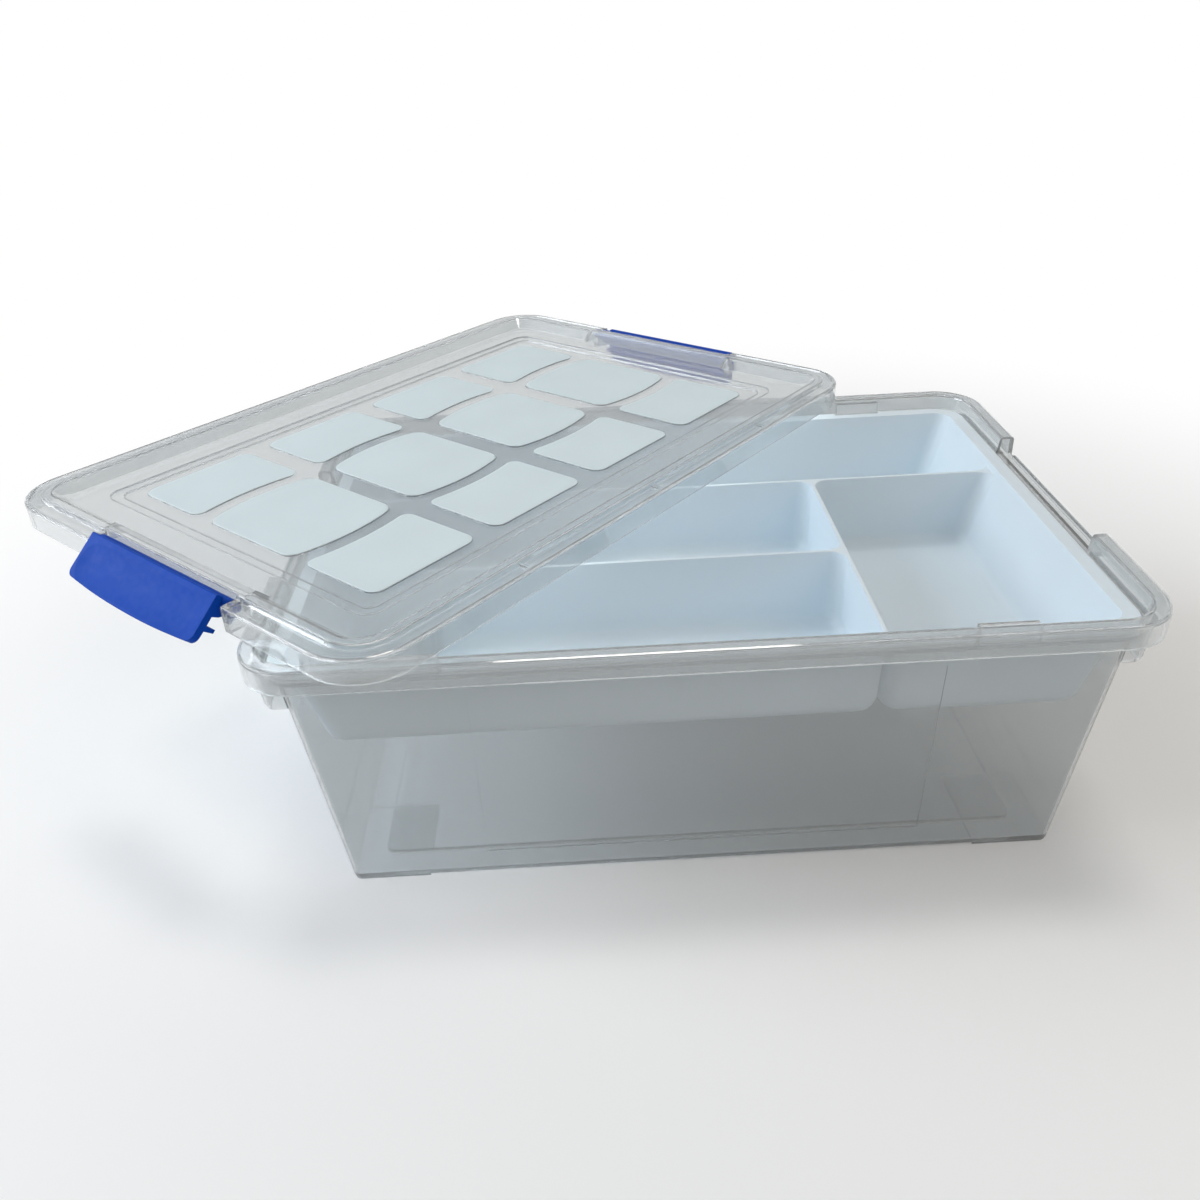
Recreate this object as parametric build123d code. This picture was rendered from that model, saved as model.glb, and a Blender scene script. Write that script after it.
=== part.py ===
from build123d import *
from math import atan, degrees, radians, sqrt, tan
import os

# Clear clip-lock tool box: tub, lift-out tray, loose lid and two swinging latches.
# Millimetres, +Z up. The origin is the middle of the tub, on the surface that its feet stand on.

# Tub
RIM_LENGTH = 400.0
RIM_WIDTH = 283.0
RIM_RADIUS = 26.0
TUB_HEIGHT = 143.5
BASE_LENGTH = 346.5
BASE_WIDTH = 227.0
BODY_RADIUS = 4.5        # upright corners of the body
TUB_WALL = 1.8
RIM_TOP = 8.0            # width of the raised rim, seen from above
RIM_EDGE = 1.5           # rounding of the rim's two top edges
RIM_DRAFT = 1.5          # the rim's inner face leans in by this much
SKIRT_DEPTH = 11.5
LEDGE_DEPTH = 10.0       # the tray's ledge, below the top of the rim
LEDGE_INSET = 16.6       # outside of the rim to the inner face of the wall under the ledge
FOOT_HEIGHT = 1.5
FOOT_INSET = 0.4         # edge of the base to the foot
FOOT_LENGTH = 38.0
FOOT_WIDTH = 50.0
FLOOR_INSET = 15.0       # edge of the base to the raised panel of the floor
FLOOR_STEP = 1.5
PANEL_HALF = 105.0       # half the length of the shallow panel on each long wall
PANEL_DEPTH = 0.5
PANEL_MARGIN = 14.0      # from the panel to the skirt above it and to the base below it

# Latch gaps and end grips of the tub
GAP_HALF = 60.5          # half the length of the gap in the rim on each short end
LIP_INSET = 0.8          # outside of the rim to the edge of the gap's flange
BEAD_HEIGHT = 2.0
BEAD_WIDTH = 2.0
BEAD_HALF = 53.0         # half the length of the bead
BEAD_EASE = 0.6
GRIP_INSET = 4.6         # outside of the rim to the outer face of the grip's wall
GRIP_HALF = 125.0
GRIP_CORNER = 5.0        # rounding of the grip's corners and of its lower edge
GRIP_DEPTH = 33.0        # lower edge of the grip, below the top of the rim
GRIP_DRAFT = 5.0         # degrees

# Bosses on the long sides of the rim, which keep the tray from sliding
BOSS_X = 126.5
BOSS_WIDTH = 26.0
BOSS_REACH = 3.0
BOSS_DROP = 2.0          # top of the rim to the top of the boss

# Tray
TRAY_WALL = 1.6
TRAY_GAP = 0.6           # between the tray's walls and the tub's
TRAY_SEAT = 0.3          # between the tray's flange and the ledge
FLANGE_THICKNESS = 1.5
FLANGE_GAP = 1.5         # between the flange and the foot of the rim's inner face
NOTCH_GAP = 1.0          # between the flange's notches and the bosses
TRAY_DEPTH = 46.0        # underside of the flange to the underside of the tray
END_DRAFT = 11.4         # degrees that the short walls lean more than the tub's
SIDE_DRAFT = 0.3         # degrees that the long walls lean more than the tub's
DIVIDER_DRAFT = 0.8      # degrees
DIVIDER = 1.8
DIVIDER_DROP = 3.5       # top of the flange to the top of the dividers
DIVIDER_Y = 41.5
CROSS_X = 79.0
DIVIDER_WEB = 1.5        # web between the rounded corners of two compartments
CELL_ROUND = 8.0         # rounding of a compartment's corners and of its floor's edges

# Lid
LID_OVERHANG = 2.5       # the lid's skirt stands this far outside the rim
LID_WALL = 1.6
LID_SKIRT = 12.5
LID_EDGE = 1.0
LID_BEAD = 2.5           # width of the bead along the outer edge
GROOVE_DROP = 1.0
RIDGE_RISE = 1.5
RIDGE_START = 8.2        # outer edge of the lid to the ridge
RIDGE_END = 14.0
STEP_RUN = 0.6           # how far each small step leans
BAND_START = 21.0
BAND_DROP = 4.5          # the band inside the ridge, below the bead
BAND_OVERLAP = 3.0       # the swept edge runs this far onto the flat band
SHELF_INSET = 36.0       # outer edge of the lid to the first step of the panel
SHELF_DROP = 5.25
PANEL_INSET = 41.5       # outer edge of the lid to the panel itself
PANEL_DROP = 6.0
SHELF_CORNER = 8.0
PANEL_CORNER = 6.0
RIB_X = 100.0            # ribs across the groove, at the middle and at this distance from it
RIB_WIDTH = 1.6
LID_SEAT = 0.3           # between the lid and the rim, both lying askew and closed

# Frosted pads on the lid's panel
PAD_COLUMNS = 4
PAD_PITCH = 79.2
PAD_LENGTH = 66.0
PAD_RISE = 0.5
PAD_MIDDLE_HALF = 38.5   # half the width of a middle pad, at the top of its bulge
PAD_BULGE = 5.0
PAD_CLEAR = 8.5          # clear strip between a middle pad and a side pad
PAD_OUTER = 95.0         # outer edge of the side pads
PAD_HOLLOW = 4.0
PAD_CORNER = 7.0

# Latch, and its place in the lid
PIVOT_INSET = 5.7        # outer edge of the lid to the pivot's axis
PIVOT_DROP = 3.6         # top of the lid's bead to the pivot's axis
KNUCKLE_RADIUS = 3.8
KNUCKLE_GAP = 0.5        # between the knuckle and the lid's notch, and at each end
LATCH_HALF = 54.5
CHEEK = 3.6
STUB_RADIUS = 2.2
STUB_CLEARANCE = 0.06
NOTCH_DROP = 8.0         # lower edge of the notch's wall, below the top of the bead
NOTCH_RIDGE = 6.5        # width of the ridge where it steps in behind the latch
NOTCH_SLOPE = 6.0
NOTCH_END = 4.0          # the stepped-in ridge is this much longer than the notch, at each end
PADDLE_FACE = 8.4        # pivot's axis to the paddle's outer face, closed
PADDLE = 3.2
PADDLE_END = 2.2         # the paddle is this much shorter than the knuckle, at each end
PADDLE_LEAN = 0.5        # its lower edge stands out by this much
PADDLE_EDGE = 0.8
PADDLE_RISE = 2.6        # top of the paddle, above the pivot's axis
PADDLE_REACH = 23.4      # pivot's axis to the lower edge of the paddle
PADDLE_CROWN = 2.7       # rise of the curved lower edge
PADDLE_CORNER = 4.0
GROOVE_DEPTH = 3.2       # groove between knuckle and paddle, below the top of the paddle
DISH_RADIUS = 50.0       # hollow in the paddle's face
DISH_DEPTH = 0.9
DISH_DROP = 10.6         # pivot's axis to the middle of the hollow
DISH_MARGIN = 3.0        # end of the hollow to the end of the paddle
ARM_DEPTH = 7.2          # underside of the arm between knuckle and paddle
HOOK_GAP = 0.5           # between the hook and the gap's flange, closed
HOOK_THICKNESS = 2.6
HOOK_TIP = 0.2           # the hook ends this far short of the pivot's axis
HOOK_ROUND = 0.8

# Rest pose: the lid lies askew on the tub, the near latch is swung open, the far one hangs
LID_X = -116.4
LID_Y = 82.5
LID_TURN = 49.03         # degrees about Z
NEAR_LATCH_OPEN = 48.0   # degrees from closed
FAR_LATCH_OPEN = 0.0

LID_LENGTH = RIM_LENGTH + 2 * LID_OVERHANG
LID_WIDTH = RIM_WIDTH + 2 * LID_OVERHANG
LID_RADIUS = RIM_RADIUS + LID_OVERHANG
LEDGE_Z = TUB_HEIGHT - LEDGE_DEPTH
GROOVE_UNDERSIDE = GROOVE_DROP + LID_WALL
# The lid is drawn closed, about the top of its bead, and then moved to its rest pose.
CLOSED_Z = TUB_HEIGHT + LID_SEAT + GROOVE_UNDERSIDE
RESTING_Z = TUB_HEIGHT + LID_SEAT + LID_SKIRT
NOTCH_HALF = LATCH_HALF + KNUCKLE_GAP
NOTCH_INSET = PIVOT_INSET + KNUCKLE_RADIUS + KNUCKLE_GAP
BORE_RADIUS = STUB_RADIUS + STUB_CLEARANCE


def slab(length, width, radius, low, high):
    """Upright block with a rounded rectangle for a plan."""
    plan = Pos(0, 0, low) * RectangleRounded(length, width, radius)
    return extrude(plan, high - low, dir=(0, 0, 1))


def tapered(low_plan, high_plan, low, high, corner, round_floor=False):
    """Block between two rectangles, each (x0, x1, y0, y1), with rounded upright edges."""
    rings = []
    for plan, height in ((low_plan, low), (high_plan, high)):
        x0, x1, y0, y1 = plan
        rings.append([(x0, y0, height), (x1, y0, height), (x1, y1, height), (x0, y1, height)])
    bottom, top = rings
    walls = [[bottom[i - 1], bottom[i], top[i], top[i - 1]] for i in range(4)]
    faces = [Face(Wire.make_polygon(outline)) for outline in [bottom, top] + walls]
    block = Solid(Shell(faces))
    floor_edges, upright_edges, _ = block.edges().group_by(Axis.Z)
    return fillet(upright_edges + floor_edges if round_floor else upright_edges, corner)


def around(length, width, radius, section):
    """Sweep a closed section in the XZ plane along the outline of a rounded rectangle."""
    x, y = length / 2, width / 2
    half = FilletPolyline((x, 0), (x, y), (-x, y), (-x, 0), radius=radius)
    path = half + Rot(0, 0, 180) * half
    return sweep(section, path=path)


def both_ends(solid):
    """The same feature on the two short ends."""
    return [solid, Rot(0, 0, 180) * solid]


def four_corners(x, y):
    return [(sx * x, sy * y) for sx in (-1, 1) for sy in (-1, 1)]


def eased(radius):
    """How far the middle of a small rounding lies inside each of its two sides."""
    return radius * (1 - sqrt(0.5))


def rim_outline():
    """Outside of the rim's section: skirt, eased top, inner face down to the ledge."""
    outer = RIM_LENGTH / 2
    inner = outer - RIM_TOP
    top = TUB_HEIGHT
    ease = eased(RIM_EDGE)
    return [
        (outer, top - SKIRT_DEPTH),
        (outer, top - RIM_EDGE),
        (outer - ease, top - ease),
        (outer - RIM_EDGE, top),
        (inner + RIM_EDGE, top),
        (inner + ease, top - ease),
        (inner, top - RIM_EDGE),
        (inner - RIM_DRAFT, LEDGE_Z),
    ]


def rim_section():
    """Inverted channel with the ledge turned in at its inner foot."""
    x = RIM_LENGTH / 2
    z = TUB_HEIGHT
    under = [
        (x - LEDGE_INSET, LEDGE_Z),
        (x - LEDGE_INSET, LEDGE_Z - TUB_WALL),
        (x - RIM_TOP - RIM_DRAFT + TUB_WALL, LEDGE_Z - TUB_WALL),
        (x - RIM_TOP + TUB_WALL, z - TUB_WALL),
        (x - TUB_WALL, z - TUB_WALL),
        (x - TUB_WALL, z - SKIRT_DEPTH),
    ]
    return Plane.XZ * make_face(Polyline(*rim_outline(), *under, close=True))


def rim_end_section():
    """Filled section that closes the rim's channel beside a latch gap."""
    x = RIM_LENGTH / 2
    foot = [
        (x - RIM_TOP - RIM_DRAFT, LEDGE_Z - TUB_WALL),
        (x - TUB_WALL, LEDGE_Z - TUB_WALL),
        (x - TUB_WALL, TUB_HEIGHT - SKIRT_DEPTH),
    ]
    return Plane.XZ * make_face(Polyline(*rim_outline(), *foot, close=True))


def tub_body(inset, low, high):
    """Tapered body of the tub, drawn in by an inset from its outer face."""
    rise = (high - FOOT_HEIGHT) / (LEDGE_Z - FOOT_HEIGHT)
    fall = (low - FOOT_HEIGHT) / (LEDGE_Z - FOOT_HEIGHT)
    top_x = RIM_LENGTH / 2 - LEDGE_INSET + TUB_WALL
    top_y = RIM_WIDTH / 2 - LEDGE_INSET + TUB_WALL
    plans = []
    for share in (fall, rise):
        x = BASE_LENGTH / 2 * (1 - share) + top_x * share - inset
        y = BASE_WIDTH / 2 * (1 - share) + top_y * share - inset
        plans.append((-x, x, -y, y))
    return tapered(plans[0], plans[1], low, high, BODY_RADIUS - inset)


def grip_block(inset, low, high, round_floor):
    """Block from inside the tub's end wall to the grip's outer face."""
    inner_x = RIM_LENGTH / 2 - LEDGE_INSET - 2 * GRIP_CORNER
    plans = []
    for height in (low, high):
        lean = (LEDGE_Z - height) * tan(radians(GRIP_DRAFT)) + inset
        outer_x = RIM_LENGTH / 2 - GRIP_INSET - lean
        plans.append((inner_x, outer_x, lean - GRIP_HALF, GRIP_HALF - lean))
    return tapered(plans[0], plans[1], low, high, GRIP_CORNER - inset, round_floor)


def end_grip():
    """Finger grip under the rim of one short end: a drafted wall, closed at both ends, open below."""
    low = TUB_HEIGHT - GRIP_DEPTH
    outer = grip_block(0, low, LEDGE_Z, True)
    return outer - grip_block(TUB_WALL, low - TUB_WALL, LEDGE_Z - TUB_WALL, False)


def latch_gap():
    """What is cut from the rim of one short end for the latch."""
    inner_x = RIM_LENGTH / 2 - RIM_TOP - RIM_DRAFT
    return Pos(inner_x, 0, LEDGE_Z - TUB_WALL) * Box(
        2 * RIM_TOP, 2 * GAP_HALF, 2 * LEDGE_DEPTH, align=(Align.MIN, Align.CENTER, Align.MIN)
    )


def gap_flange():
    """Flange that runs through the latch gap, with an eased bead along its edge."""
    edge_x = RIM_LENGTH / 2 - LIP_INSET
    inner_x = RIM_LENGTH / 2 - RIM_TOP - RIM_DRAFT - TUB_WALL
    flange = Pos((inner_x + edge_x) / 2, 0, LEDGE_Z - TUB_WALL / 2) * Box(
        edge_x - inner_x, 2 * GAP_HALF, TUB_WALL
    )
    bead = Pos(edge_x - BEAD_WIDTH / 2, 0, LEDGE_Z + (BEAD_HEIGHT - TUB_WALL) / 2) * Box(
        BEAD_WIDTH, 2 * BEAD_HALF, BEAD_HEIGHT + TUB_WALL
    )
    top = bead.faces().sort_by(Axis.Z)[-1]
    return flange + chamfer(top.edges(), BEAD_EASE)


def latch_gap_trim():
    """Closed ends of the rim beside the gap, and the gap's flange."""
    plate = extrude(rim_end_section(), TUB_WALL, dir=(0, 1, 0))
    far_end = Pos(0, GAP_HALF, 0) * plate
    near_end = Pos(0, -GAP_HALF - TUB_WALL, 0) * plate
    return [far_end, near_end, gap_flange()]


def rim_bosses():
    """Bosses on the rim's inner long faces."""
    inner_y = RIM_WIDTH / 2 - RIM_TOP - RIM_DRAFT
    bosses = []
    for x, y in four_corners(BOSS_X, inner_y):
        inward = -1 if y > 0 else 1
        depth = BOSS_REACH + RIM_DRAFT
        middle = y + inward * (BOSS_REACH - depth / 2)
        height = LEDGE_DEPTH - BOSS_DROP
        bosses.append(Pos(x, middle, LEDGE_Z + height / 2) * Box(BOSS_WIDTH, depth, height))
    return bosses


def corner_feet():
    """Four pads that follow the corners of the base."""
    length = BASE_LENGTH - 2 * FOOT_INSET
    width = BASE_WIDTH - 2 * FOOT_INSET
    base = slab(length, width, BODY_RADIUS, 0, FOOT_HEIGHT + TUB_WALL)
    feet = []
    for x, y in four_corners((length - FOOT_LENGTH) / 2, (width - FOOT_WIDTH) / 2):
        feet.append(base & Pos(x, y, 0) * Box(FOOT_LENGTH, FOOT_WIDTH, 2 * FOOT_HEIGHT))
    return feet


def floor_panel(low, high):
    length = BASE_LENGTH - 2 * FLOOR_INSET
    width = BASE_WIDTH - 2 * FLOOR_INSET
    return slab(length, width, BODY_RADIUS, low, high)


def wall_panels():
    """Shallow recess in the outer face of each long wall."""
    low = FOOT_HEIGHT + PANEL_MARGIN
    high = TUB_HEIGHT - SKIRT_DEPTH - PANEL_MARGIN
    skin = tub_body(0, FOOT_HEIGHT, LEDGE_Z) - tub_body(PANEL_DEPTH, FOOT_HEIGHT, LEDGE_Z)
    window = Plane.XZ * (Pos(0, (low + high) / 2) * Rectangle(2 * PANEL_HALF, high - low))
    return skin & extrude(window, RIM_WIDTH / 2, both=True)


def make_tub():
    tub = tub_body(0, FOOT_HEIGHT, LEDGE_Z)
    tub += [around(RIM_LENGTH, RIM_WIDTH, RIM_RADIUS, rim_section())]
    tub -= both_ends(latch_gap())
    tub += both_ends(end_grip())
    for trim in latch_gap_trim():
        tub += both_ends(trim)
    tub -= wall_panels()
    tub -= tub_body(TUB_WALL, FOOT_HEIGHT + TUB_WALL, LEDGE_Z)
    tub += floor_panel(FOOT_HEIGHT, FOOT_HEIGHT + TUB_WALL + FLOOR_STEP)
    tub -= floor_panel(0, FOOT_HEIGHT + FLOOR_STEP)
    tub += rim_bosses()
    tub += corner_feet()
    return tub


def flange_underside():
    return LEDGE_Z + TRAY_SEAT


def tray_inner_x():
    return RIM_LENGTH / 2 - LEDGE_INSET - TRAY_GAP - TRAY_WALL


def tray_inner_y():
    return RIM_WIDTH / 2 - LEDGE_INSET - TRAY_GAP - TRAY_WALL


def tub_lean(overall, base):
    """Degrees that a wall of the tub leans, from the sizes of the rim and the base."""
    run = overall / 2 - LEDGE_INSET + TUB_WALL - base / 2
    return degrees(atan(run / (LEDGE_Z - FOOT_HEIGHT)))


def cell(x0, x1, y0, y1, grow, low, high, round_floor=True):
    """One tapered compartment, given at the height of the flange, grown by a wall thickness.

    A side on the outside of the tray leans with the tub, and a side on a divider hardly leans."""
    limit_x = tray_inner_x()
    limit_y = tray_inner_y()
    end_lean = tub_lean(RIM_LENGTH, BASE_LENGTH) + END_DRAFT
    side_lean = tub_lean(RIM_WIDTH, BASE_WIDTH) + SIDE_DRAFT
    drafts = (
        end_lean if x0 <= -limit_x else DIVIDER_DRAFT,
        end_lean if x1 >= limit_x else DIVIDER_DRAFT,
        side_lean if y0 <= -limit_y else DIVIDER_DRAFT,
        side_lean if y1 >= limit_y else DIVIDER_DRAFT,
    )
    plans = []
    for height in (low, high):
        lean = [(flange_underside() - height) * tan(radians(angle)) for angle in drafts]
        left, right = x0 + lean[0] - grow, x1 - lean[1] + grow
        front, back = y0 + lean[2] - grow, y1 - lean[3] + grow
        plans.append((left, right, front, back))
    return tapered(plans[0], plans[1], low, high, CELL_ROUND + grow, round_floor)


def compartments():
    """Plan limits of the four compartments: back, middle left, front left, right."""
    x, y = tray_inner_x(), tray_inner_y()
    half = DIVIDER / 2
    return [
        (-x, x, DIVIDER_Y + half, y),
        (-x, CROSS_X - half, -DIVIDER_Y + half, DIVIDER_Y - half),
        (-x, CROSS_X - half, -y, -DIVIDER_Y - half),
        (CROSS_X + half, x, -y, DIVIDER_Y - half),
    ]


def flange_notches():
    """Cuts in the flange that clear the tub's bosses."""
    outer_y = RIM_WIDTH / 2 - RIM_TOP - RIM_DRAFT
    depth = BOSS_REACH + NOTCH_GAP
    notches = []
    for x, y in four_corners(BOSS_X, outer_y):
        notches.append(Pos(x, y, LEDGE_Z) * Box(BOSS_WIDTH + 2 * NOTCH_GAP, 2 * depth, LEDGE_DEPTH))
    return notches


def make_tray():
    seat = flange_underside()
    top = seat + FLANGE_THICKNESS
    bottom = seat - TRAY_DEPTH
    divider_z = top - DIVIDER_DROP
    inset = RIM_TOP + RIM_DRAFT + FLANGE_GAP
    x, y = tray_inner_x(), tray_inner_y()
    tray = slab(RIM_LENGTH - 2 * inset, RIM_WIDTH - 2 * inset, RIM_RADIUS - inset, seat, top)
    tray -= flange_notches()
    tray += [cell(*limits, TRAY_WALL, bottom, seat) for limits in compartments()]
    whole = cell(-x, x, -y, y, TRAY_WALL, bottom, seat, False)
    tray += split(whole, bisect_by=Plane.XY.offset(divider_z - DIVIDER_WEB))
    for limits in compartments():
        tray -= cell(*limits, 0, bottom + TRAY_WALL, top)
    mouth = cell(-x, x, -y, y, 0, bottom, top, False)
    tray -= split(mouth, bisect_by=Plane.XY.offset(divider_z))
    return tray


def lid_points(points):
    """Points given as (inset from the lid's outer edge, height above the top of its bead)."""
    return [(LID_LENGTH / 2 - inset, height) for inset, height in points]


def lid_section():
    """Edge of the lid: skirt, bead, groove, ridge and the slope down to the band."""
    ease = eased(LID_EDGE)
    top = [
        (0, -LID_EDGE),
        (ease, -ease),
        (LID_EDGE, 0),
        (LID_BEAD, 0),
        (LID_BEAD + STEP_RUN, -GROOVE_DROP),
        (RIDGE_START, -GROOVE_DROP),
        (RIDGE_START + STEP_RUN, RIDGE_RISE),
        (RIDGE_END, RIDGE_RISE),
        (BAND_START, -BAND_DROP),
        (BAND_START + BAND_OVERLAP, -BAND_DROP),
    ]
    under = [
        (BAND_START + BAND_OVERLAP, -BAND_DROP - LID_WALL),
        (BAND_START - STEP_RUN, -BAND_DROP - LID_WALL),
        (RIDGE_END - STEP_RUN, RIDGE_RISE - LID_WALL),
        (RIDGE_START + STEP_RUN + LID_WALL, RIDGE_RISE - LID_WALL),
        (RIDGE_START + STEP_RUN + LID_WALL, -GROOVE_UNDERSIDE),
        (LID_WALL, -GROOVE_UNDERSIDE),
        (LID_WALL, -LID_SKIRT),
        (0, -LID_SKIRT),
    ]
    return Plane.XZ * make_face(Polyline(*lid_points(top + under), close=True))


def lid_sheet(inset, corner, drop):
    """Flat sheet of the lid's own thickness, inside a given inset."""
    return slab(LID_LENGTH - 2 * inset, LID_WIDTH - 2 * inset, corner, -drop - LID_WALL, -drop)


def lid_panel():
    """The band's inner edge, a narrow shelf and the panel, each a step lower."""
    band = lid_sheet(BAND_START, LID_RADIUS - BAND_START, BAND_DROP)
    band -= lid_sheet(SHELF_INSET + LID_WALL, SHELF_CORNER, BAND_DROP)
    shelf = lid_sheet(SHELF_INSET, SHELF_CORNER, SHELF_DROP)
    shelf -= lid_sheet(PANEL_INSET + LID_WALL, PANEL_CORNER, SHELF_DROP)
    panel = lid_sheet(PANEL_INSET, PANEL_CORNER, PANEL_DROP)
    cut_shelf = slab(
        LID_LENGTH - 2 * SHELF_INSET, LID_WIDTH - 2 * SHELF_INSET, SHELF_CORNER, -SHELF_DROP, 0
    )
    cut_panel = slab(
        LID_LENGTH - 2 * PANEL_INSET, LID_WIDTH - 2 * PANEL_INSET, PANEL_CORNER, -PANEL_DROP, 0
    )
    return band + shelf + panel - cut_shelf - cut_panel


def middle_pad():
    """Pad of the middle row: its two long edges bulge."""
    x = PAD_LENGTH / 2
    y = PAD_MIDDLE_HALF
    back = ThreePointArc((x, y - PAD_BULGE), (0, y), (-x, y - PAD_BULGE))
    front = ThreePointArc((-x, PAD_BULGE - y), (0, -y), (x, PAD_BULGE - y))
    outline = [back, Line(back @ 1, front @ 0), front, Line(front @ 1, back @ 0)]
    plan = make_face(outline)
    return fillet(plan.vertices(), PAD_CORNER)


def side_pad():
    """Pad of the back row: its inner edge follows the bulge of the middle row."""
    x = PAD_LENGTH / 2
    inner = PAD_MIDDLE_HALF + PAD_CLEAR
    hollow = ThreePointArc((-x, inner - PAD_HOLLOW), (0, inner), (x, inner - PAD_HOLLOW))
    rest = Polyline(hollow @ 1, (x, PAD_OUTER), (-x, PAD_OUTER), hollow @ 0)
    plan = make_face([hollow, rest])
    return fillet(plan.vertices(), PAD_CORNER)


def pads():
    """Twelve low pads, three rows of four."""
    raised = []
    for column in range(PAD_COLUMNS):
        x = (column - (PAD_COLUMNS - 1) / 2) * PAD_PITCH
        for plan in (middle_pad(), side_pad(), Rot(0, 0, 180) * side_pad()):
            raised.append(extrude(Pos(x, 0, -PANEL_DROP) * plan, PAD_RISE, dir=(0, 0, 1)))
    return raised


def groove_ribs():
    """Ribs across the groove of the two long sides."""
    length = RIDGE_START - LID_BEAD + 2 * STEP_RUN
    y = LID_WIDTH / 2 - LID_BEAD - length / 2
    ribs = []
    for x in (-RIB_X, 0, RIB_X):
        for side in (-1, 1):
            ribs.append(Pos(x, side * y, -GROOVE_DROP / 2) * Box(RIB_WIDTH, length, GROOVE_DROP))
    return ribs


def latch_notch():
    """What is cut from the lid's edge for one latch."""
    return Pos(LID_LENGTH / 2 - NOTCH_INSET, -NOTCH_HALF, -LID_SKIRT - LID_EDGE) * Box(
        2 * NOTCH_INSET, 2 * NOTCH_HALF, 2 * LID_SKIRT, align=Align.MIN
    )


def notch_ridge():
    """The ridge where it steps in behind a latch, with the notch's wall."""
    inner = NOTCH_INSET + NOTCH_RIDGE
    outline = [
        (NOTCH_INSET, RIDGE_RISE),
        (inner, RIDGE_RISE),
        (inner + NOTCH_SLOPE, -BAND_DROP),
        (inner + NOTCH_SLOPE, -BAND_DROP - LID_WALL),
        (inner + NOTCH_SLOPE - STEP_RUN, -BAND_DROP - LID_WALL),
        (inner - STEP_RUN, RIDGE_RISE - LID_WALL),
        (NOTCH_INSET + LID_WALL, RIDGE_RISE - LID_WALL),
        (NOTCH_INSET + LID_WALL, -NOTCH_DROP),
        (NOTCH_INSET, -NOTCH_DROP),
    ]
    section = Plane.XZ * make_face(Polyline(*lid_points(outline), close=True))
    return extrude(section, NOTCH_HALF + NOTCH_END, both=True)


def notch_ridge_ends():
    """Filled ends of the stepped-in ridge."""
    inner = NOTCH_INSET + NOTCH_RIDGE
    outline = [
        (NOTCH_INSET, RIDGE_RISE),
        (inner, RIDGE_RISE),
        (inner + NOTCH_SLOPE, -BAND_DROP),
        (inner + NOTCH_SLOPE, -BAND_DROP - LID_WALL),
        (NOTCH_INSET, -BAND_DROP - LID_WALL),
    ]
    section = Plane.XZ * make_face(Polyline(*lid_points(outline), close=True))
    plate = extrude(section, LID_WALL, dir=(0, 1, 0))
    half = NOTCH_HALF + NOTCH_END
    return [Pos(0, half - LID_WALL, 0) * plate, Pos(0, -half, 0) * plate]


def cheeks():
    """End walls of the notch, which carry the latch's stubs."""
    outline = [
        (0, -LID_EDGE),
        (LID_EDGE, 0),
        (NOTCH_INSET + LID_WALL, 0),
        (NOTCH_INSET + LID_WALL, -LID_SKIRT),
        (0, -LID_SKIRT),
    ]
    section = Plane.XZ * make_face(Polyline(*lid_points(outline), close=True))
    plate = extrude(section, CHEEK, dir=(0, 1, 0))
    return [Pos(0, NOTCH_HALF, 0) * plate, Pos(0, -NOTCH_HALF - CHEEK, 0) * plate]


def pivot_bore():
    bore = Cylinder(BORE_RADIUS, 2 * (NOTCH_HALF + CHEEK))
    return Pos(pivot_x(), 0, -PIVOT_DROP) * Rot(90, 0, 0) * bore


def make_lid():
    """The lid closed, about the middle of its bead's top plane."""
    lid = around(LID_LENGTH, LID_WIDTH, LID_RADIUS, lid_section())
    lid += lid_panel()
    lid += groove_ribs()
    lid -= both_ends(latch_notch())
    lid += both_ends(notch_ridge())
    for plate in notch_ridge_ends() + cheeks():
        lid += both_ends(plate)
    lid -= both_ends(pivot_bore())
    lid += pads()
    return lid


def pivot_x():
    return LID_LENGTH / 2 - PIVOT_INSET


def latch_section():
    """Section of the latch closed, about its pivot: outwards along X, down along -Z."""
    top = PADDLE_RISE
    face = PADDLE_FACE
    back = PADDLE_FACE - PADDLE
    low = -PADDLE_REACH
    pivot_z = CLOSED_Z - PIVOT_DROP
    hook_top = LEDGE_Z - TUB_WALL - HOOK_GAP - pivot_z
    hook_low = hook_top - HOOK_THICKNESS
    outline = Polyline(
        (face, top),
        (face + PADDLE_LEAN, low),
        (back + PADDLE_LEAN, low),
        (back, hook_low),
        (HOOK_TIP, hook_low + HOOK_ROUND),
        (HOOK_TIP, hook_top),
        (back, hook_top),
        (back, -ARM_DEPTH),
        (KNUCKLE_RADIUS / 2, 1 - ARM_DEPTH),
        (-KNUCKLE_RADIUS * 0.8, -KNUCKLE_RADIUS * 0.6),
        (0, 0),
        ((KNUCKLE_RADIUS + back) / 2, top - GROOVE_DEPTH),
        (back, top),
        close=True,
    )
    plan = make_face(outline)
    return fillet(plan.vertices().sort_by(Axis.X)[-2:], PADDLE_EDGE)


def paddle_outline():
    """Front view of the paddle: straight at the knuckle, rounded and crowned at the lower edge."""
    half = LATCH_HALF - PADDLE_END
    crown = ThreePointArc(
        (-half, PADDLE_CROWN - PADDLE_REACH), (0, -PADDLE_REACH), (half, PADDLE_CROWN - PADDLE_REACH)
    )
    rest = Polyline(crown @ 1, (half, KNUCKLE_RADIUS), (-half, KNUCKLE_RADIUS), crown @ 0)
    plan = make_face([crown, rest])
    return fillet(plan.vertices().sort_by(Axis.Y)[:2], PADDLE_CORNER)


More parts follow.
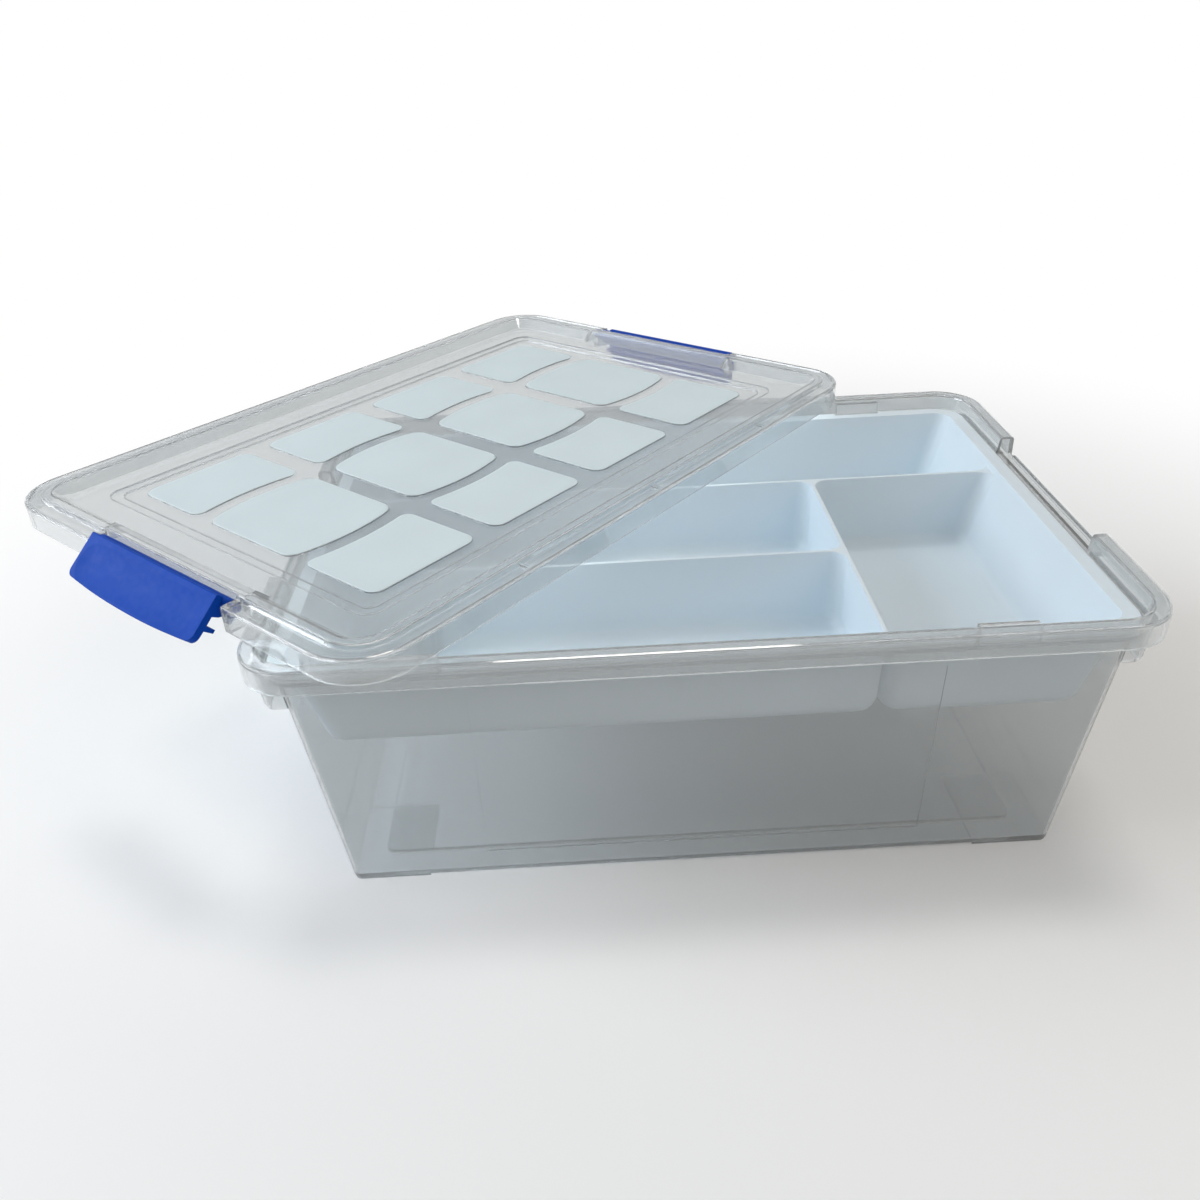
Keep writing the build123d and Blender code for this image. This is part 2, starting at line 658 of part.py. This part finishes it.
def paddle_dish():
    """Long shallow hollow of the paddle's face, with round ends: a large cylinder with ball ends."""
    end_reach = sqrt(2 * DISH_RADIUS * DISH_DEPTH)
    half = LATCH_HALF - PADDLE_END - DISH_MARGIN - end_reach
    middle = Rot(90, 0, 0) * Cylinder(DISH_RADIUS, 2 * half)
    ball = Sphere(DISH_RADIUS)
    dish = middle + Pos(0, half, 0) * ball + Pos(0, -half, 0) * ball
    return Pos(PADDLE_FACE + DISH_RADIUS - DISH_DEPTH, 0, -DISH_DROP) * dish


def make_latch():
    """The latch closed, about its pivot, on the +X end."""
    blade = extrude(Plane.XZ * latch_section(), LATCH_HALF, both=True)
    blade &= extrude(Plane.YZ * paddle_outline(), LID_LENGTH, both=True)
    blade -= paddle_dish()
    knuckle = Rot(90, 0, 0) * Cylinder(KNUCKLE_RADIUS, 2 * LATCH_HALF)
    stubs = Rot(90, 0, 0) * Cylinder(STUB_RADIUS, 2 * (NOTCH_HALF + CHEEK))
    return blade + knuckle + stubs


def resting_lid():
    return Pos(LID_X, LID_Y, RESTING_Z) * Rot(0, 0, LID_TURN)


def latch_place(end_turn, opened):
    """Place of a latch on the resting lid: its end of the lid, and how far it is open."""
    pivot = Pos(pivot_x(), 0, -PIVOT_DROP)
    return resting_lid() * Rot(0, 0, end_turn) * pivot * Rot(0, -opened, 0)


def write_parts():
    os.makedirs("parts", exist_ok=True)
    latch = make_latch()
    nodes = {
        "tub": make_tub(),
        "tray": make_tray(),
        "lid": resting_lid() * make_lid(),
        "near_latch": latch_place(180, NEAR_LATCH_OPEN) * latch,
        "far_latch": latch_place(0, FAR_LATCH_OPEN) * latch,
    }
    for name, solid in nodes.items():
        export_step(solid, f"parts/{name}.step")


write_parts()
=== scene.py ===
import math

import bmesh
import bpy
from bpy.props import FloatProperty, FloatVectorProperty, IntProperty, PointerProperty
from bpy.types import Operator, Panel, PropertyGroup
from mathutils import Matrix, Vector


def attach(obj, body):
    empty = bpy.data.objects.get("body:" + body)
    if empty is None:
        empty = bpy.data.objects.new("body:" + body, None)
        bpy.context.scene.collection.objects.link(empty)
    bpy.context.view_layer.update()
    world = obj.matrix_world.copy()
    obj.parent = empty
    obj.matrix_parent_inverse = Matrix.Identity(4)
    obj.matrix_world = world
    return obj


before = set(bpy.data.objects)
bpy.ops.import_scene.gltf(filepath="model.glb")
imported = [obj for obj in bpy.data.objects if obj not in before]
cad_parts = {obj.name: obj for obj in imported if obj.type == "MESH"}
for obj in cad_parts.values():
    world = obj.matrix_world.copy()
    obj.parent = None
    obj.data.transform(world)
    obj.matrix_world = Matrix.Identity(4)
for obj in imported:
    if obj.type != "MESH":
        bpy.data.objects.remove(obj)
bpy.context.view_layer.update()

bl_info = {
    "name": "Clip-lock tool box",
    "version": (1, 0, 0),
    "blender": (4, 5, 0),
    "location": "3D View > Sidebar > Tool box",
    "description": "Dresses the moulded tool box: clear tub and lid, frosted pads, white tray, blue latches",
    "category": "Object",
}

MM = 0.001
# Place of the lid as it lies askew on the tub: middle of its bead's top plane, and turn about Z.
LID_MIDDLE = Vector((-116.4, 82.5, 156.3)) * MM
LID_TURN = math.radians(49.03)

SKIN_EDGE = 0.35 * MM    # the frosted skin draws in by this much from its foot to its top
WELD = 0.001 * MM        # points of the frosted skins closer than this are one point
FLOOR_HALF = 12          # half the side of the floor, in metres
FLOOR_DROP = 0.05 * MM   # the floor lies this far under the feet, so that the two never flicker
FADE_START = 0.24        # metres from the middle of the box, where the floor starts to turn white
FADE_END = 0.75
# A reflected ray shows the white backdrop while the Z of its direction is under SKY_LOW, and only
# the studio's soft light above SKY_HIGH.
SKY_LOW = 0.12
SKY_HIGH = 0.35

# The camera was fitted to the edges of the rim, base and lid in the photograph.
PHOTO_SIZE = 1200
PHOTO_FOCUS = 1066.8     # focal length in pixels of the photograph
PHOTO_MIDDLE = (601.0, 572.05)
CAMERA_PLACE = Vector((-48.74, -503.12, 387.57)) * MM
CAMERA_ANGLES = (0.76, 29.48, -2.72)    # degrees of yaw, pitch down and roll
SENSOR = 36              # millimetres
LAMPS_AIM = (0, 0, 0.1)    # metres, near the middle of the box


def linear(hex_colour):
    """Linear colour of an sRGB hex value."""
    parts = [int(hex_colour[i:i + 2], 16) / 255 for i in (1, 3, 5)]
    return tuple(c / 12.92 if c <= 0.04045 else ((c + 0.055) / 1.055) ** 2.4 for c in parts)


def add(tree, kind, inputs=None, **settings):
    """Add a node with its settings, and give each named or numbered input a value or a link."""
    node = tree.nodes.new(kind)
    for name, value in settings.items():
        setattr(node, name, value)
    for key, value in (inputs or {}).items():
        if isinstance(value, bpy.types.NodeSocket):
            tree.links.new(value, node.inputs[key])
        else:
            node.inputs[key].default_value = value
    return node


def new_material(name):
    """New material with an empty node tree."""
    material = bpy.data.materials.new(name)
    material.use_nodes = True
    material.node_tree.nodes.clear()
    return material, material.node_tree


def per_metre(size_mm):
    """Noise scale whose features are about this many millimetres across."""
    return 1 / (size_mm * MM)


class ColourSettings(PropertyGroup):
    clear: FloatVectorProperty(
        name="Clear polypropylene", description="Tint of the tub and the lid, seen through one wall",
        subtype="COLOR", size=3, min=0, max=1, default=linear("#e0e3e4"))
    pads: FloatVectorProperty(
        name="Frosted pads", description="Colour of the lid's frosted pads",
        subtype="COLOR", size=3, min=0, max=1, default=linear("#dee9ec"))
    tray: FloatVectorProperty(
        name="Tray", description="Colour of the white tray",
        subtype="COLOR", size=3, min=0, max=1, default=linear("#dde8ef"))
    latch: FloatVectorProperty(
        name="Latches", description="Colour of the blue latches",
        subtype="COLOR", size=3, min=0, max=1, default=linear("#0d46b0"))
    floor: FloatVectorProperty(
        name="Floor", description="Colour of the studio floor",
        subtype="COLOR", size=3, min=0, max=1, default=linear("#f4f4f4"))


class PadSettings(PropertyGroup):
    columns: IntProperty(name="Columns", description="Pads along the lid", default=4, min=1)
    pitch: FloatProperty(
        name="Pitch", description="Spacing of the columns", unit="LENGTH", default=79.2 * MM)
    length: FloatProperty(
        name="Length", description="Length of one pad", unit="LENGTH", default=65.6 * MM)
    middle: FloatProperty(
        name="Middle half width", description="Half the width of a middle pad at its bulge",
        unit="LENGTH", default=38.3 * MM)
    bulge: FloatProperty(
        name="Bulge", description="Rise of a middle pad's long edges", unit="LENGTH", default=5.0 * MM)
    inner: FloatProperty(
        name="Side pad start", description="Middle of the lid to the inner edge of a side pad",
        unit="LENGTH", default=47.2 * MM)
    hollow: FloatProperty(
        name="Hollow", description="Depth of a side pad's curved inner edge",
        unit="LENGTH", default=4.0 * MM)
    outer: FloatProperty(
        name="Side pad end", description="Middle of the lid to the outer edge of a side pad",
        unit="LENGTH", default=94.8 * MM)
    corner: FloatProperty(
        name="Corner", description="Rounding of a pad's corners", unit="LENGTH", default=6.8 * MM)
    height: FloatProperty(
        name="Height", description="Top of the lid's bead down to the frosted skin",
        unit="LENGTH", default=5.49 * MM)
    skin: FloatProperty(
        name="Skin", description="Thickness of the frosted skin", unit="LENGTH", default=0.25 * MM)


class StageSettings(PropertyGroup):
    key: FloatProperty(
        name="Key lamp", description="Power of the large lamp on the left",
        unit="POWER", default=30.0)
    top: FloatProperty(
        name="Top lamp", description="Power of the small lamp overhead, which draws the bright edges",
        unit="POWER", default=10.0)
    fill: FloatProperty(
        name="Fill lamp", description="Power of the lamp in front, on the right",
        unit="POWER", default=9.0)
    sky: FloatProperty(
        name="Sky", description="Strength of the even light from all round", default=0.38, min=0)


def clear_polypropylene(colour):
    """Random-copolymer polypropylene, injection moulded in a polished tool.

    It is clear with a faint milky haze, its edges catch light, and its face is never quite flat."""
    material, tree = new_material("clear_polypropylene_moulded")
    place = add(tree, "ShaderNodeTexCoord").outputs["Object"]
    # Sink and flow leave slow waves about 45 mm apart.
    waves = add(tree, "ShaderNodeTexNoise", {
        "Vector": place, "Scale": per_metre(45), "Detail": 1.0, "Roughness": 0.4}).outputs["Fac"]
    # Handling scuffs are about 6 mm across and only change the gloss.
    scuffs = add(tree, "ShaderNodeTexNoise", {
        "Vector": place, "Scale": per_metre(6), "Detail": 4.0, "Roughness": 0.6}).outputs["Fac"]
    gloss = add(tree, "ShaderNodeMapRange", {
        "Value": scuffs, "From Min": 0.35, "From Max": 0.75, "To Min": 0.06, "To Max": 0.1})
    edges = add(tree, "ShaderNodeBevel", {"Radius": 0.4 * MM}, samples=8).outputs["Normal"]
    ripple = add(tree, "ShaderNodeBump", {
        "Height": waves, "Strength": 0.06, "Distance": 1.0 * MM, "Normal": edges})
    skin = add(tree, "ShaderNodeBsdfPrincipled", {
        "Base Color": (*colour, 1), "Roughness": gloss.outputs["Result"], "IOR": 1.49,
        "Transmission Weight": 0.88, "Coat Weight": 0.7, "Coat Roughness": 0.03, "Coat IOR": 1.49,
        "Normal": ripple.outputs["Normal"], "Coat Normal": ripple.outputs["Normal"]})
    # Lamps shine through the walls, as they do through the real ones.
    passing = add(tree, "ShaderNodeBsdfTransparent", {"Color": (0.94, 0.95, 0.95, 1)})
    mixed = add(tree, "ShaderNodeMixShader", {
        0: add(tree, "ShaderNodeLightPath").outputs["Is Shadow Ray"],
        1: skin.outputs["BSDF"], 2: passing.outputs["BSDF"]})
    add(tree, "ShaderNodeOutputMaterial", {"Surface": mixed.outputs["Shader"]})
    return material


def frosted_polypropylene(colour):
    """The same polypropylene where the tool is spark eroded: a fine matt skin that scatters light."""
    material, tree = new_material("frosted_polypropylene_spark_eroded")
    place = add(tree, "ShaderNodeTexCoord").outputs["Object"]
    # Real grain is about 0.1 mm; it is drawn at 1.2 mm so that it shows.
    grain = add(tree, "ShaderNodeTexNoise", {
        "Vector": place, "Scale": per_metre(1.2), "Detail": 2.0}).outputs["Fac"]
    clouds = add(tree, "ShaderNodeTexNoise", {
        "Vector": place, "Scale": per_metre(38), "Detail": 1.0}).outputs["Fac"]
    shade = add(tree, "ShaderNodeMix", {
        "Factor": clouds, 6: (*(0.93 * c for c in colour), 1), 7: (*colour, 1)}, data_type="RGBA")
    relief = add(tree, "ShaderNodeBump", {
        "Height": grain, "Strength": 0.12, "Distance": 0.1 * MM})
    skin = add(tree, "ShaderNodeBsdfPrincipled", {
        "Base Color": shade.outputs[2], "Roughness": 0.5, "IOR": 1.49,
        "Transmission Weight": 0.2, "Normal": relief.outputs["Normal"]})
    passing = add(tree, "ShaderNodeBsdfTransparent", {"Color": (0.72, 0.74, 0.76, 1)})
    mixed = add(tree, "ShaderNodeMixShader", {
        0: add(tree, "ShaderNodeLightPath").outputs["Is Shadow Ray"],
        1: skin.outputs["BSDF"], 2: passing.outputs["BSDF"]})
    add(tree, "ShaderNodeOutputMaterial", {"Surface": mixed.outputs["Shader"]})
    return material


def white_polypropylene(colour):
    """Pigmented polypropylene, moulded with a satin skin: cool white, light soaks in a little."""
    material, tree = new_material("white_polypropylene_satin")
    place = add(tree, "ShaderNodeTexCoord").outputs["Object"]
    # Pigment swirls about 70 mm long.
    swirls = add(tree, "ShaderNodeTexNoise", {
        "Vector": place, "Scale": per_metre(70), "Detail": 2.0, "Distortion": 0.6}).outputs["Fac"]
    shade = add(tree, "ShaderNodeMix", {
        "Factor": swirls, 6: (*(0.95 * c for c in colour), 1), 7: (*colour, 1)}, data_type="RGBA")
    grain = add(tree, "ShaderNodeTexNoise", {
        "Vector": place, "Scale": per_metre(1.6), "Detail": 2.0}).outputs["Fac"]
    gloss = add(tree, "ShaderNodeMapRange", {
        "Value": swirls, "From Min": 0.3, "From Max": 0.7, "To Min": 0.3, "To Max": 0.42})
    edges = add(tree, "ShaderNodeBevel", {"Radius": 0.5 * MM}, samples=4).outputs["Normal"]
    relief = add(tree, "ShaderNodeBump", {
        "Height": grain, "Strength": 0.06, "Distance": 0.1 * MM, "Normal": edges})
    skin = add(tree, "ShaderNodeBsdfPrincipled", {
        "Base Color": shade.outputs[2], "Roughness": gloss.outputs["Result"], "IOR": 1.49,
        "Subsurface Weight": 0.2, "Subsurface Radius": (1.0, 1.0, 1.2), "Subsurface Scale": 2 * MM,
        "Normal": relief.outputs["Normal"]})
    add(tree, "ShaderNodeOutputMaterial", {"Surface": skin.outputs["BSDF"]})
    return material


def blue_polypropylene(colour):
    """Pigmented polypropylene, moulded with a soft gloss: a faint wide highlight on an even blue."""
    material, tree = new_material("blue_polypropylene_gloss")
    place = add(tree, "ShaderNodeTexCoord").outputs["Object"]
    swirls = add(tree, "ShaderNodeTexNoise", {
        "Vector": place, "Scale": per_metre(25), "Detail": 2.0, "Distortion": 0.8}).outputs["Fac"]
    shade = add(tree, "ShaderNodeMix", {
        "Factor": swirls, 6: (*(0.86 * c for c in colour), 1), 7: (*colour, 1)}, data_type="RGBA")
    scuffs = add(tree, "ShaderNodeTexNoise", {
        "Vector": place, "Scale": per_metre(3), "Detail": 3.0}).outputs["Fac"]
    gloss = add(tree, "ShaderNodeMapRange", {
        "Value": scuffs, "From Min": 0.35, "From Max": 0.7, "To Min": 0.42, "To Max": 0.52})
    edges = add(tree, "ShaderNodeBevel", {"Radius": 0.8 * MM}, samples=6).outputs["Normal"]
    relief = add(tree, "ShaderNodeBump", {
        "Height": scuffs, "Strength": 0.05, "Distance": 0.1 * MM, "Normal": edges})
    skin = add(tree, "ShaderNodeBsdfPrincipled", {
        "Base Color": shade.outputs[2], "Roughness": gloss.outputs["Result"], "IOR": 1.49,
        "Specular IOR Level": 0.1, "Specular Tint": (0.35, 0.55, 1, 1),
        "Normal": relief.outputs["Normal"]})
    add(tree, "ShaderNodeOutputMaterial", {"Surface": skin.outputs["BSDF"]})
    return material


def seen_ray(tree, reflected):
    """1 for a ray from the camera or a refraction, the given share for a reflection, 0 for light."""
    rays = add(tree, "ShaderNodeLightPath").outputs
    mirrored = add(tree, "ShaderNodeMath", {
        0: rays["Is Glossy Ray"], 1: reflected}, operation="MULTIPLY").outputs["Value"]
    either = add(tree, "ShaderNodeMath", {
        0: rays["Is Camera Ray"], 1: mirrored}, operation="MAXIMUM").outputs["Value"]
    return add(tree, "ShaderNodeMath", {
        0: either, 1: rays["Is Transmission Ray"]}, operation="MAXIMUM").outputs["Value"]


def studio_floor(colour):
    """Matt painted board."""
    material, tree = new_material("studio_floor_matt")
    place = add(tree, "ShaderNodeTexCoord").outputs["Object"]
    mottle = add(tree, "ShaderNodeTexNoise", {
        "Vector": place, "Scale": per_metre(400), "Detail": 1.0}).outputs["Fac"]
    shade = add(tree, "ShaderNodeMix", {
        "Factor": mottle, 6: (*(0.99 * c for c in colour), 1), 7: (*colour, 1)}, data_type="RGBA")
    paint = add(tree, "ShaderNodeBsdfDiffuse", {"Color": shade.outputs[2]})
    # Away from the box the board fades into the white backdrop.
    reach = add(tree, "ShaderNodeVectorMath", {0: place}, operation="LENGTH").outputs["Value"]
    fade = add(tree, "ShaderNodeMapRange", {
        "Value": reach, "From Min": FADE_START, "From Max": FADE_END}, interpolation_type="SMOOTHSTEP")
    share = add(tree, "ShaderNodeMath", {
        0: fade.outputs["Result"], 1: seen_ray(tree, 1.0)}, operation="MULTIPLY")
    white = add(tree, "ShaderNodeEmission", {"Color": (1, 1, 1, 1), "Strength": 1.0})
    mixed = add(tree, "ShaderNodeMixShader", {
        0: share.outputs["Value"], 1: paint.outputs["BSDF"], 2: white.outputs["Emission"]})
    add(tree, "ShaderNodeOutputMaterial", {"Surface": mixed.outputs["Shader"]})
    return material


def dress(names, material):
    """Give CAD nodes a material."""
    for name in names:
        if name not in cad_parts:
            raise RuntimeError(f"the frame has no node {name}")
        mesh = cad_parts[name].data
        mesh.materials.clear()
        mesh.materials.append(material)


def bowed(x0, x1, y, rise, steps=7):
    """Points of a shallow arc between two x values that rises in the middle."""
    points = []
    for step in range(steps + 1):
        t = step / steps
        points.append((x0 + (x1 - x0) * t, y + rise * (4 * t * (1 - t) - 1)))
    return points


def pad_outlines(pads):
    """Outline of each frosted pad in the lid's own plan, with the indices of its four corners."""
    x = pads.length / 2
    middle_back = bowed(x, -x, pads.middle, pads.bulge)
    middle = middle_back + [(-u, -v) for u, v in middle_back]
    side_edge = bowed(-x, x, pads.inner, pads.hollow)
    side = side_edge + [(x, pads.outer), (-x, pads.outer)]
    last = len(middle_back) - 1
    middle_corners = (0, last, last + 1, len(middle) - 1)
    side_corners = (0, last, last + 1, last + 2)
    outlines = []
    for column in range(pads.columns):
        shift = (column - (pads.columns - 1) / 2) * pads.pitch
        outlines.append(([(u + shift, v) for u, v in middle], middle_corners))
        outlines.append(([(u + shift, v) for u, v in side], side_corners))
        outlines.append(([(shift - u, -v) for u, v in side], side_corners))
    return outlines


def frosted_skins(pads):
    """Thin frosted skin on each of the lid's pads, with a rounded edge."""
    mesh = bmesh.new()
    for outline, corners in pad_outlines(pads):
        ring = [mesh.verts.new((u, v, -pads.height)) for u, v in outline]
        face = mesh.faces.new(ring)
        bmesh.ops.bevel(
            mesh, geom=[ring[i] for i in corners], offset=pads.corner, segments=6,
            profile=0.5, affect="VERTICES")
    faces = list(mesh.faces)
    bmesh.ops.recalc_face_normals(mesh, faces=faces)
    for face in faces:
        if face.normal.z < 0:
            face.normal_flip()
    # A copy that faces down stays behind as the underside, so that each skin is a closed solid.
    copies = bmesh.ops.duplicate(mesh, geom=faces)["geom"]
    undersides = [item for item in copies if isinstance(item, bmesh.types.BMFace)]
    bmesh.ops.reverse_faces(mesh, faces=undersides)
    bmesh.ops.inset_individual(mesh, faces=faces, thickness=SKIN_EDGE, depth=pads.skin)
    bmesh.ops.remove_doubles(mesh, verts=list(mesh.verts), dist=WELD)
    mesh.transform(Matrix.Translation(LID_MIDDLE) @ Matrix.Rotation(LID_TURN, 4, "Z"))
    data = bpy.data.meshes.new("frosted_pads")
    mesh.to_mesh(data)
    mesh.free()
    skins = bpy.data.objects.new("frosted_pads", data)
    bpy.context.scene.collection.objects.link(skins)
    return skins


class TOOLBOX_OT_tub_and_lid(Operator):
    """Give the tub and the lid their clear moulded polypropylene"""
    bl_idname = "toolbox.tub_and_lid"
    bl_label = "Tub and lid"

    def execute(self, context):
        dress(("tub", "lid"), clear_polypropylene(context.scene.toolbox_colours.clear))
        return {"FINISHED"}


class TOOLBOX_OT_pads(Operator):
    """Lay the frosted skins on the lid's twelve pads"""
    bl_idname = "toolbox.pads"
    bl_label = "Frosted pads"

    def execute(self, context):
        skins = frosted_skins(context.scene.toolbox_pads)
        skins.data.materials.append(frosted_polypropylene(context.scene.toolbox_colours.pads))
        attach(skins, "lid")
        return {"FINISHED"}


class TOOLBOX_OT_tray(Operator):
    """Give the tray its satin white polypropylene"""
    bl_idname = "toolbox.tray"
    bl_label = "Tray"

    def execute(self, context):
        dress(("tray",), white_polypropylene(context.scene.toolbox_colours.tray))
        return {"FINISHED"}


class TOOLBOX_OT_latches(Operator):
    """Give the two latches their blue polypropylene"""
    bl_idname = "toolbox.latches"
    bl_label = "Latches"

    def execute(self, context):
        dress(("near_latch", "far_latch"), blue_polypropylene(context.scene.toolbox_colours.latch))
        return {"FINISHED"}


def area_lamp(name, power, size, place, colour):
    """Soft rectangular lamp that shines on the middle of the box."""
    lamp = bpy.data.lights.new(name, "AREA")
    lamp.energy = power
    lamp.shape = "RECTANGLE"
    lamp.size, lamp.size_y = size
    lamp.color = colour
    holder = bpy.data.objects.new(name, lamp)
    holder.location = place
    holder.rotation_euler = (Vector(LAMPS_AIM) - Vector(place)).to_track_quat("-Z", "Y").to_euler()
    bpy.context.scene.collection.objects.link(holder)


def photo_camera():
    """Camera at the photograph's place: 29.5 degrees down, rolled a little, 32 mm lens."""
    yaw, pitch, roll = (math.radians(angle) for angle in CAMERA_ANGLES)
    forward = Vector((
        math.sin(yaw) * math.cos(pitch), math.cos(yaw) * math.cos(pitch), -math.sin(pitch)))
    level = Vector((math.cos(yaw), -math.sin(yaw), 0))
    upright = level.cross(forward)
    across = math.cos(roll) * level + math.sin(roll) * upright
    above = math.cos(roll) * upright - math.sin(roll) * level
    data = bpy.data.cameras.new("photo_camera")
    data.sensor_width = SENSOR
    data.lens = SENSOR * PHOTO_FOCUS / PHOTO_SIZE
    data.shift_x = (PHOTO_SIZE / 2 - PHOTO_MIDDLE[0]) / PHOTO_SIZE
    data.shift_y = (PHOTO_MIDDLE[1] - PHOTO_SIZE / 2) / PHOTO_SIZE
    data.clip_end = 50
    camera = bpy.data.objects.new("photo_camera", data)
    axes = Matrix((across, above, -forward)).transposed().to_4x4()
    camera.matrix_world = Matrix.Translation(CAMERA_PLACE) @ axes
    bpy.context.scene.collection.objects.link(camera)
    bpy.context.scene.camera = camera


def floor_sheet(colour):
    """One wide level sheet under the box."""
    mesh = bmesh.new()
    bmesh.ops.create_grid(mesh, x_segments=4, y_segments=4, size=FLOOR_HALF)
    data = bpy.data.meshes.new("floor")
    mesh.to_mesh(data)
    mesh.free()
    data.materials.append(studio_floor(colour))
    floor = bpy.data.objects.new("floor", data)
    floor.location.z = -FLOOR_DROP
    bpy.context.scene.collection.objects.link(floor)


class TOOLBOX_OT_stage(Operator):
    """Build the floor, the lamps and the photograph's camera"""
    bl_idname = "toolbox.stage"
    bl_label = "Stage"

    def execute(self, context):
        settings = context.scene.toolbox_stage
        floor_sheet(context.scene.toolbox_colours.floor)
        area_lamp(
            "key", settings.key, (1.2, 1.2), (-1.9, 0.1, 1.1), linear("#eef6ff"))
        area_lamp(
            "top", settings.top, (0.7, 0.4), (0.1, 0.35, 2.2), linear("#fffcf5"))
        area_lamp(
            "fill", settings.fill, (1.6, 1.6), (1.3, -1.2, 1.3), linear("#fff0de"))
        world = bpy.data.worlds.new("soft_studio")
        world.use_nodes = True
        tree = world.node_tree
        tree.nodes.clear()
        # A reflection shows the white backdrop low down, and the soft light of the studio above it.
        way = add(tree, "ShaderNodeSeparateXYZ", {
            "Vector": add(tree, "ShaderNodeTexCoord").outputs["Generated"]}).outputs["Z"]
        low = add(tree, "ShaderNodeMapRange", {
            "Value": way, "From Min": SKY_LOW, "From Max": SKY_HIGH, "To Min": 1.0, "To Max": 0.0},
            interpolation_type="SMOOTHSTEP").outputs["Result"]
        light = add(tree, "ShaderNodeBackground", {
            "Color": (*linear("#f4f5f6"), 1), "Strength": settings.sky})
        white = add(tree, "ShaderNodeBackground", {"Color": (1, 1, 1, 1), "Strength": 1.0})
        mixed = add(tree, "ShaderNodeMixShader", {
            0: seen_ray(tree, low), 1: light.outputs["Background"],
            2: white.outputs["Background"]})
        add(tree, "ShaderNodeOutputWorld", {"Surface": mixed.outputs["Shader"]})
        context.scene.world = world
        context.scene.view_settings.view_transform = "Standard"
        photo_camera()
        return {"FINISHED"}


STEPS = (
    TOOLBOX_OT_tub_and_lid, TOOLBOX_OT_pads, TOOLBOX_OT_tray, TOOLBOX_OT_latches, TOOLBOX_OT_stage)


class TOOLBOX_PT_panel(Panel):
    bl_idname = "TOOLBOX_PT_panel"
    bl_label = "Tool box"
    bl_space_type = "VIEW_3D"
    bl_region_type = "UI"
    bl_category = "Tool box"

    def draw(self, context):
        for step in STEPS:
            self.layout.operator(step.bl_idname)
        for group in ("toolbox_colours", "toolbox_pads", "toolbox_stage"):
            settings = getattr(context.scene, group)
            for name in settings.__annotations__:
                self.layout.prop(settings, name)


CLASSES = (ColourSettings, PadSettings, StageSettings, *STEPS, TOOLBOX_PT_panel)


def register():
    for item in CLASSES:
        bpy.utils.register_class(item)
    bpy.types.Scene.toolbox_colours = PointerProperty(type=ColourSettings)
    bpy.types.Scene.toolbox_pads = PointerProperty(type=PadSettings)
    bpy.types.Scene.toolbox_stage = PointerProperty(type=StageSettings)


def unregister():
    for name in ("toolbox_colours", "toolbox_pads", "toolbox_stage"):
        delattr(bpy.types.Scene, name)
    for item in reversed(CLASSES):
        bpy.utils.unregister_class(item)


def main():
    register()
    bpy.ops.toolbox.tub_and_lid()
    bpy.ops.toolbox.pads()
    bpy.ops.toolbox.tray()
    bpy.ops.toolbox.latches()
    bpy.ops.toolbox.stage()


if __name__ == "__main__":
    main()
